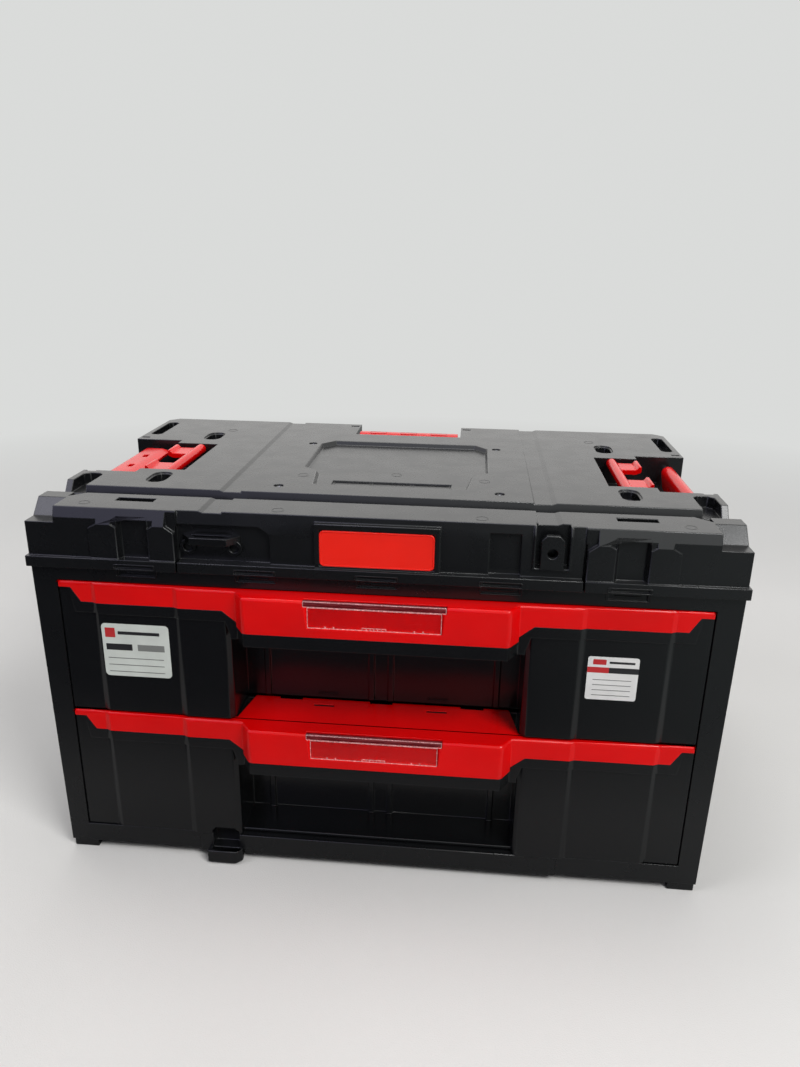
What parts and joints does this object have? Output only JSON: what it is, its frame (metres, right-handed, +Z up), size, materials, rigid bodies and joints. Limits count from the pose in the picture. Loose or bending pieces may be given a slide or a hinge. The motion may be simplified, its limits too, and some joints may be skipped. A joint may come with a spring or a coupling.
{
  "type": "portable tool box with drawers",
  "caption": "Stackable portable tool box with pull-out drawers on telescopic slides, a moulded top cover with side latches and a rear handle, and stepped fronts with finger bays.",
  "frame": {"origin": "centre of the base of the overall box, on the ground the feet stand on", "axes": "+X to the right as seen from the front, +Y to the back, +Z up"},
  "size_m": [0.576, 0.367, 0.3334],
  "materials": {
    "case_plastic": "fine-grained moulded polypropylene",
    "cover_plastic": "satin moulded plastic",
    "black_plastic": "satin moulded plastic",
    "front_plastic": "satin moulded plastic",
    "tray_plastic": "plain moulded plastic",
    "red_plastic": "glossy moulded plastic",
    "clear_plastic": "clear polished plastic",
    "slide_steel": "zinc-plated sheet steel",
    "pin_steel": "bright steel wire",
    "screw_steel": "dark zinc-plated steel"
  },
  "bodies": {
    "case": {"housing": "case_plastic", "base_feet": "case_plastic", "base_rail": "case_plastic", "top_cover": "cover_plastic", "top_cover_screws": "screw_steel", "name_plate": "red_plastic", "lock_loop": "black_plastic", "lock_keeper": "black_plastic", "rear_lever_pin": "pin_steel", "left_latch_pin": "pin_steel", "right_latch_pin": "pin_steel", "left_bail_pin": "pin_steel", "right_bail_pin": "pin_steel", "lower_right_slide_outer": "slide_steel", "lower_left_slide_outer": "slide_steel", "upper_right_slide_outer": "slide_steel", "upper_left_slide_outer": "slide_steel"},
    "left_lever": {"left_latch_lever": "red_plastic"},
    "right_lever": {"right_latch_lever": "red_plastic"},
    "left_claws": {"left_claw_bail": "red_plastic"},
    "right_claws": {"right_claw_bail": "red_plastic"},
    "rear_handle": {"rear_lever": "red_plastic"},
    "lower_drawer": {"lower_drawer_tray": "tray_plastic", "lower_drawer_front": "front_plastic", "lower_drawer_grip": "red_plastic", "lower_drawer_lip": "black_plastic", "lower_front_screws": "screw_steel", "lower_right_slide_inner": "slide_steel", "lower_left_slide_inner": "slide_steel"},
    "lower_slide_middles": {"lower_right_slide_middle": "slide_steel", "lower_left_slide_middle": "slide_steel"},
    "lower_window": {"lower_label_window": "clear_plastic"},
    "upper_drawer": {"upper_drawer_tray": "tray_plastic", "upper_drawer_front": "front_plastic", "upper_drawer_grip": "red_plastic", "upper_drawer_lip": "black_plastic", "upper_front_screws": "screw_steel", "upper_right_slide_inner": "slide_steel", "upper_left_slide_inner": "slide_steel"},
    "upper_slide_middles": {"upper_right_slide_middle": "slide_steel", "upper_left_slide_middle": "slide_steel"},
    "upper_window": {"upper_label_window": "clear_plastic"}
  },
  "joints": [
    {"name": "lower_drawer_slide", "type": "slide", "parent": "case", "child": "lower_drawer", "axis": [0, -1, 0], "range_m": [0, 0.26]},
    {"name": "lower_middle_slide", "type": "slide", "parent": "case", "child": "lower_slide_middles", "axis": [0, -1, 0], "range_m": [0, 0.13]},
    {"name": "lower_window_hinge", "type": "hinge", "parent": "lower_drawer", "child": "lower_window", "pos_m": [0, -0.1809, 0.1447], "axis": [-1, 0, 0], "range_deg": [0, 100]},
    {"name": "upper_drawer_slide", "type": "slide", "parent": "case", "child": "upper_drawer", "axis": [0, -1, 0], "range_m": [0, 0.26]},
    {"name": "upper_middle_slide", "type": "slide", "parent": "case", "child": "upper_slide_middles", "axis": [0, -1, 0], "range_m": [0, 0.13]},
    {"name": "upper_window_hinge", "type": "hinge", "parent": "upper_drawer", "child": "upper_window", "pos_m": [0, -0.1809, 0.2663], "axis": [-1, 0, 0], "range_deg": [0, 100]},
    {"name": "left_lever_hinge", "type": "hinge", "parent": "case", "child": "left_lever", "pos_m": [-0.269, 0.0085, 0.32], "axis": [0, -1, 0], "range_deg": [0, 260]},
    {"name": "right_lever_hinge", "type": "hinge", "parent": "case", "child": "right_lever", "pos_m": [0.269, 0.0085, 0.32], "axis": [0, 1, 0], "range_deg": [-260, 0]},
    {"name": "left_claw_hinge", "type": "hinge", "parent": "case", "child": "left_claws", "pos_m": [-0.212, 0.0085, 0.3278], "axis": [0, 1, 0], "range_deg": [0, 75]},
    {"name": "right_claw_hinge", "type": "hinge", "parent": "case", "child": "right_claws", "pos_m": [0.212, 0.0085, 0.3278], "axis": [0, -1, 0], "range_deg": [0, 75]},
    {"name": "rear_handle_hinge", "type": "hinge", "parent": "case", "child": "rear_handle", "pos_m": [0, 0.1435, 0.326], "axis": [1, 0, 0], "range_deg": [0, 110]}
  ],
  "couplings": [
    {"joint": "lower_middle_slide", "follows": "lower_drawer_slide", "ratio": 0.5},
    {"joint": "upper_middle_slide", "follows": "upper_drawer_slide", "ratio": 0.5}
  ]
}
